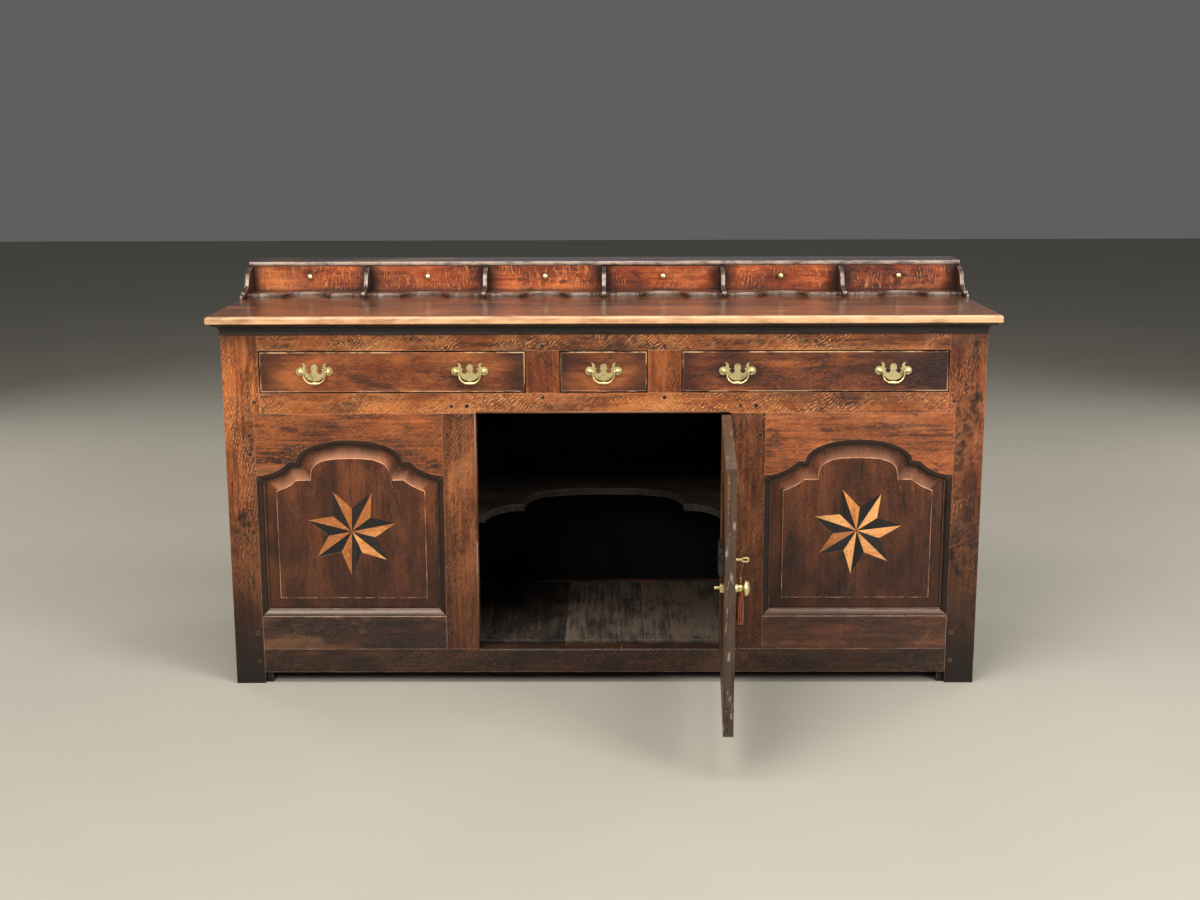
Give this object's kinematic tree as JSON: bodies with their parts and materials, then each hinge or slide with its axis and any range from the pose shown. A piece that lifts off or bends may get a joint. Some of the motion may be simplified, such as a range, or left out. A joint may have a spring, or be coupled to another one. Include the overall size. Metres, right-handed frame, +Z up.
{
  "type": "kitchen dresser",
  "caption": "Low oak dresser with arched star-inlaid panels, a central hinged door, drawers with pierced brass bail handles and a gallery of small drawers on the worktop.",
  "frame": {"origin": "on the floor, at the middle of the whole outline with the door standing open as at rest", "axes": "+X along the front to the right, +Y from front to back, +Z up"},
  "size_m": [1.836, 1.177, 0.978],
  "materials": {
    "oak_frame": "waxed quarter-sawn oak, orange-brown with pale flecks",
    "oak_panel": "waxed oak, mid brown, dark in the bevels",
    "oak_worktop": "satin waxed oak, worn pale at the front edge",
    "oak_moulding": "dark waxed oak",
    "oak_drawer_front": "red-brown waxed oak",
    "oak_inside": "unpolished aged oak",
    "oak_gallery": "waxed quarter-sawn oak",
    "oak_peg": "end-grain oak, darkened",
    "inlay_light": "pale amber fruitwood inlay",
    "inlay_dark": "near-black bog oak inlay",
    "brass": "antique pale brass, hand-worn",
    "iron": "dark aged iron",
    "silk": "orange-brown silk thread"
  },
  "bodies": {
    "carcass": {"front_posts": "oak_frame", "rear_posts": "oak_frame", "front_rails": "oak_frame", "drawer_muntins": "oak_frame", "door_posts": "oak_frame", "arched_rails": "oak_frame", "lower_rails": "oak_frame", "fielded_panels": "oak_panel", "star_light_inlays": "inlay_light", "star_dark_inlays": "inlay_dark", "side_back_rails": "oak_frame", "side_panels": "oak_panel", "back_boards": "oak_inside", "worktop_boards": "oak_worktop", "worktop_moulding": "oak_moulding", "floor_boards": "oak_inside", "shelf": "oak_inside", "runners_and_cleats": "oak_inside", "oak_pegs": "oak_peg", "gallery_top": "oak_gallery", "gallery_base": "oak_gallery", "gallery_dividers": "oak_gallery", "hinge_leaves_post": "iron"},
    "drawer_left": {"drawer_front_left": "oak_drawer_front", "drawer_box_left": "oak_inside", "handle_plates_left": "brass"},
    "drawer_centre": {"drawer_front_centre": "oak_drawer_front", "drawer_box_centre": "oak_inside", "handle_plates_centre": "brass"},
    "drawer_right": {"drawer_front_right": "oak_drawer_front", "drawer_box_right": "oak_inside", "handle_plates_right": "brass"},
    "bail_1": {"bail_1": "brass"},
    "bail_2": {"bail_2": "brass"},
    "bail_3": {"bail_3": "brass"},
    "bail_4": {"bail_4": "brass"},
    "bail_5": {"bail_5": "brass"},
    "spice_drawer_1": {"spice_drawer_1": "oak_gallery", "spice_knob_1": "brass"},
    "spice_drawer_2": {"spice_drawer_2": "oak_gallery", "spice_knob_2": "brass"},
    "spice_drawer_3": {"spice_drawer_3": "oak_gallery", "spice_knob_3": "brass"},
    "spice_drawer_4": {"spice_drawer_4": "oak_gallery", "spice_knob_4": "brass"},
    "spice_drawer_5": {"spice_drawer_5": "oak_gallery", "spice_knob_5": "brass"},
    "spice_drawer_6": {"spice_drawer_6": "oak_gallery", "spice_knob_6": "brass"},
    "door": {"door_frame": "oak_frame", "door_panel": "oak_panel", "door_star_light": "inlay_light", "door_star_dark": "inlay_dark", "hinge_leaves_door": "iron", "door_lock": "iron", "door_knob": "brass", "key_tassel": "silk", "tassel_cord": "silk"},
    "key": {"door_key": "brass"},
    "bolt": {"lock_bolt": "iron"}
  },
  "joints": [
    {"name": "drawer_left_slide", "type": "slide", "parent": "carcass", "child": "drawer_left", "axis": [0, -1, 0], "range_m": [0, 0.36]},
    {"name": "drawer_centre_slide", "type": "slide", "parent": "carcass", "child": "drawer_centre", "axis": [0, -1, 0], "range_m": [0, 0.36]},
    {"name": "drawer_right_slide", "type": "slide", "parent": "carcass", "child": "drawer_right", "axis": [0, -1, 0], "range_m": [0, 0.36]},
    {"name": "bail_1_swing", "type": "hinge", "parent": "drawer_left", "child": "bail_1", "pos_m": [-0.6735, 0.00045, 0.764], "axis": [-1, 0, 0], "range_deg": [0, 90]},
    {"name": "bail_2_swing", "type": "hinge", "parent": "drawer_left", "child": "bail_2", "pos_m": [-0.3115, 0.00045, 0.764], "axis": [-1, 0, 0], "range_deg": [0, 90]},
    {"name": "bail_3_swing", "type": "hinge", "parent": "drawer_centre", "child": "bail_3", "pos_m": [0, 0.00045, 0.764], "axis": [-1, 0, 0], "range_deg": [0, 90]},
    {"name": "bail_4_swing", "type": "hinge", "parent": "drawer_right", "child": "bail_4", "pos_m": [0.3115, 0.00045, 0.764], "axis": [-1, 0, 0], "range_deg": [0, 90]},
    {"name": "bail_5_swing", "type": "hinge", "parent": "drawer_right", "child": "bail_5", "pos_m": [0.6735, 0.00045, 0.764], "axis": [-1, 0, 0], "range_deg": [0, 90]},
    {"name": "spice_drawer_1_slide", "type": "slide", "parent": "carcass", "child": "spice_drawer_1", "axis": [0, -1, 0], "range_m": [0, 0.07]},
    {"name": "spice_drawer_2_slide", "type": "slide", "parent": "carcass", "child": "spice_drawer_2", "axis": [0, -1, 0], "range_m": [0, 0.07]},
    {"name": "spice_drawer_3_slide", "type": "slide", "parent": "carcass", "child": "spice_drawer_3", "axis": [0, -1, 0], "range_m": [0, 0.07]},
    {"name": "spice_drawer_4_slide", "type": "slide", "parent": "carcass", "child": "spice_drawer_4", "axis": [0, -1, 0], "range_m": [0, 0.07]},
    {"name": "spice_drawer_5_slide", "type": "slide", "parent": "carcass", "child": "spice_drawer_5", "axis": [0, -1, 0], "range_m": [0, 0.07]},
    {"name": "spice_drawer_6_slide", "type": "slide", "parent": "carcass", "child": "spice_drawer_6", "axis": [0, -1, 0], "range_m": [0, 0.07]},
    {"name": "door_swing", "type": "hinge", "parent": "carcass", "child": "door", "pos_m": [0.2993, 0.00695, 0.379], "axis": [0, 0, 1], "range_deg": [-87, 86]},
    {"name": "key_turn", "type": "hinge", "parent": "door", "child": "key", "pos_m": [0.26937, -0.53552, 0.46], "axis": [0.9986, -0.0523, 0], "range_deg": [0, 180]},
    {"name": "bolt_throw", "type": "slide", "parent": "door", "child": "bolt", "axis": [-0.0523, -0.9986, 0], "range_m": [0, 0.01]}
  ],
  "couplings": [
    {"joint": "key_turn", "follows": "bolt_throw", "rad_per_m": 314}
  ]
}
